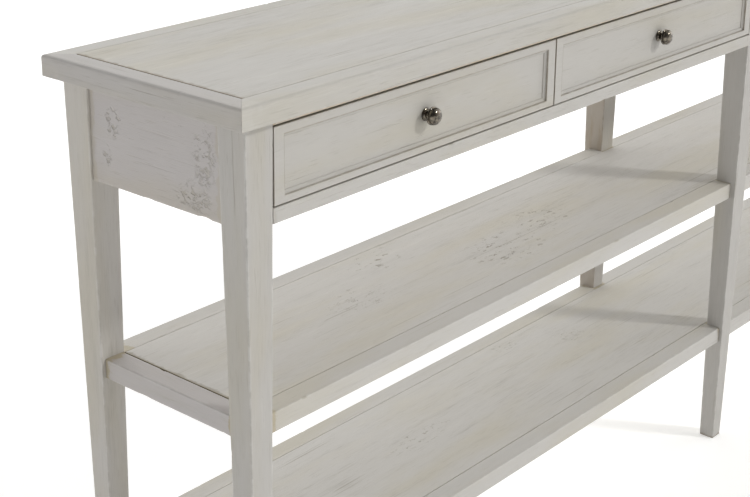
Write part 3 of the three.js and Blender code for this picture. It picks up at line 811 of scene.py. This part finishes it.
# ---- Knobs --------------------------------------------------------------------------------
# Turned metal knobs in dark antique bronze: a domed rosette, a thin neck, a flange with a step, and
# a rounded face, with a patchy patina. A screw through the front holds each one.
KNOB_SIDES = 40
KNOB_LENGTH = 20 * MM
KNOB_LINE = [
    (0.0, -17.8), (4.3, -17.8), (4.5, -17.5), (4.5, -15.4), (4.3, -15.2), (2.2, -15.2), (2.2, 0.2),
    (7.6, 0.2), (8.0, 0.6), (8.0, 1.6), (7.7, 2.0), (7.1, 2.2), (6.8, 2.5), (6.7, 3.0), (6.2, 3.8),
    (5.2, 4.6), (4.2, 5.1), (3.6, 5.6), (3.3, 6.2), (3.3, 7.0), (3.6, 7.6), (4.4, 8.1), (5.8, 8.5),
    (8.0, 8.9), (9.8, 9.3), (10.6, 9.7), (11.0, 10.2), (11.0, 10.8), (10.8, 11.2), (10.4, 11.4),
    (10.0, 11.5), (9.8, 11.7), (9.9, 12.0), (10.3, 12.5), (10.5, 13.2), (10.4, 14.2), (10.0, 15.4),
    (9.2, 16.7), (8.0, 17.9), (6.4, 18.9), (4.5, 19.55), (2.3, 19.9), (0.0, 20.0),
]

bronze = bpy.data.materials.new("antique bronze")
bronze.use_nodes = True
tree = bronze.node_tree
surface = tree.nodes["Principled BSDF"]
where = add(tree, "ShaderNodeTexCoord").outputs["Object"]
patina = add(tree, "ShaderNodeTexNoise", {"Vector": where, "Scale": 260.0, "Detail": 4.0}).outputs[0]
red = add(tree, "ShaderNodeTexNoise", {"Vector": where, "Scale": 110.0, "Detail": 2.0}).outputs[0]
colour = blend(tree, fade(tree, patina, 0.35, 0.68), (0.05, 0.042, 0.033), (0.19, 0.165, 0.125))
colour = blend(tree, fade(tree, red, 0.56, 0.7, 0, 0.4), colour, (0.1, 0.06, 0.04))
tree.links.new(colour, surface.inputs["Base Color"])
tree.links.new(fade(tree, patina, 0.3, 0.7, 0.3, 0.16), surface.inputs["Roughness"])
dimple = add(tree, "ShaderNodeBump", {"Height": patina, "Strength": 0.2, "Distance": 0.0004})
tree.links.new(dimple.outputs[0], surface.inputs["Normal"])
surface.inputs["Metallic"].default_value = 1.0
surface.inputs["Coat Weight"].default_value = 0.5
surface.inputs["Coat Roughness"].default_value = 0.1

for number in (1, 2, 3, 4):
    node = f"drawer_{number}_knob"
    low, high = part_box(node)
    axis = Vector(((low.x + high.x) / 2, low.y + KNOB_LENGTH, (low.z + high.z) / 2))
    turned = bmesh.new()
    profile = [
        turned.verts.new(axis + Vector((radius * MM, -out * MM, 0))) for radius, out in KNOB_LINE
    ]
    line = [turned.edges.new(pair) for pair in zip(profile, profile[1:])]
    bmesh.ops.spin(
        turned, geom=profile + line, cent=axis, axis=Vector((0, 1, 0)), angle=2 * math.pi,
        steps=KNOB_SIDES, use_merge=True,
    )
    bmesh.ops.remove_doubles(turned, verts=turned.verts, dist=1e-6)
    bmesh.ops.recalc_face_normals(turned, faces=turned.faces)
    finish_piece(
        node + "_turned", turned, f"drawer_{number}", "knob_bronze", bronze, node, smooth=50,
    )

# ---- Room ---------------------------------------------------------------------------------
# A plain white floor that glows faintly and runs out of sight, under a white surround that is
# brightest on the right and behind. One soft key light shines down from the front right.
FLOOR_HALF = 40
FLOOR_GLOW = 0.3
ZENITH, FROM_RIGHT, FROM_BACK, FROM_FRONT, LOW_RING = 0.48, 2.2, 2.2, 0.1, 0.4
LAMP_WHITE = (1, 0.997, 0.99)
KEY_TOWARD = Vector((0.42, -0.72, 0.56))
KEY_STRENGTH = 1.1
KEY_SPREAD = math.radians(7)

floor_shape = bmesh.new()
bmesh.ops.create_grid(floor_shape, x_segments=1, y_segments=1, size=FLOOR_HALF)
floor_mesh = bpy.data.meshes.new("floor")
floor_shape.to_mesh(floor_mesh)
floor_shape.free()
floor = bpy.data.objects.new("floor", floor_mesh)
bpy.context.scene.collection.objects.link(floor)
white = bpy.data.materials.new("white floor")
white.use_nodes = True
surface = white.node_tree.nodes["Principled BSDF"]
surface.inputs["Base Color"].default_value = (0.92, 0.92, 0.915, 1)
surface.inputs["Emission Color"].default_value = (1, 1, 1, 1)
surface.inputs["Emission Strength"].default_value = FLOOR_GLOW
surface.inputs["Roughness"].default_value = 0.9
surface.inputs["Specular IOR Level"].default_value = 0.1
floor_mesh.materials.append(white)

surround = bpy.data.worlds.new("studio")
surround.use_nodes = True
tree = surround.node_tree
tree.nodes["Background"].inputs["Color"].default_value = (*LAMP_WHITE, 1)
compass = add(tree, "ShaderNodeTexCoord").outputs["Generated"]
east, north, up = add(tree, "ShaderNodeSeparateXYZ", {0: compass}).outputs
south = reckon(tree, "MULTIPLY", north, -1.0)
level = reckon(tree, "SUBTRACT", 1.0, reckon(tree, "ABSOLUTE", up))
glow = 0.0
for toward, power, strength in ((up, 3, ZENITH), (east, 2, FROM_RIGHT), (north, 2, FROM_BACK),
                                (south, 2, FROM_FRONT), (level, 3, LOW_RING)):
    bright = reckon(tree, "POWER", reckon(tree, "MAXIMUM", toward, 0.0), float(power))
    glow = reckon(tree, "MULTIPLY_ADD", bright, strength, glow)
tree.links.new(glow, tree.nodes["Background"].inputs["Strength"])
bpy.context.scene.world = surround

key = bpy.data.lights.new("key", "SUN")
key.energy = KEY_STRENGTH
key.color = LAMP_WHITE
key.angle = KEY_SPREAD
key_lamp = bpy.data.objects.new("key", key)
key_lamp.rotation_mode = "QUATERNION"
key_lamp.rotation_quaternion = KEY_TOWARD.normalized().to_track_quat("Z", "Y")
bpy.context.scene.collection.objects.link(key_lamp)

camera_data = bpy.data.cameras.new("camera")
camera_data.sensor_width = 36.0
camera_data.lens = 73.47
camera_data.shift_y = -0.12
camera_data.clip_start = 0.05
camera_data.clip_end = 200.0
camera = bpy.data.objects.new("camera", camera_data)
bpy.context.scene.collection.objects.link(camera)
across = Vector((0.65760, -0.75334, 0.00663))
upward = Vector((0.23435, 0.21291, 0.94855))
backward = Vector((-0.71599, -0.62222, 0.31655))
stands_at = Vector((-2.09869, -1.20068, 1.24596))
facing = Matrix((across, upward, backward)).transposed().to_4x4()
camera.matrix_world = Matrix.Translation(stands_at) @ facing
bpy.context.scene.camera = camera
bpy.context.scene.view_settings.view_transform = "Standard"
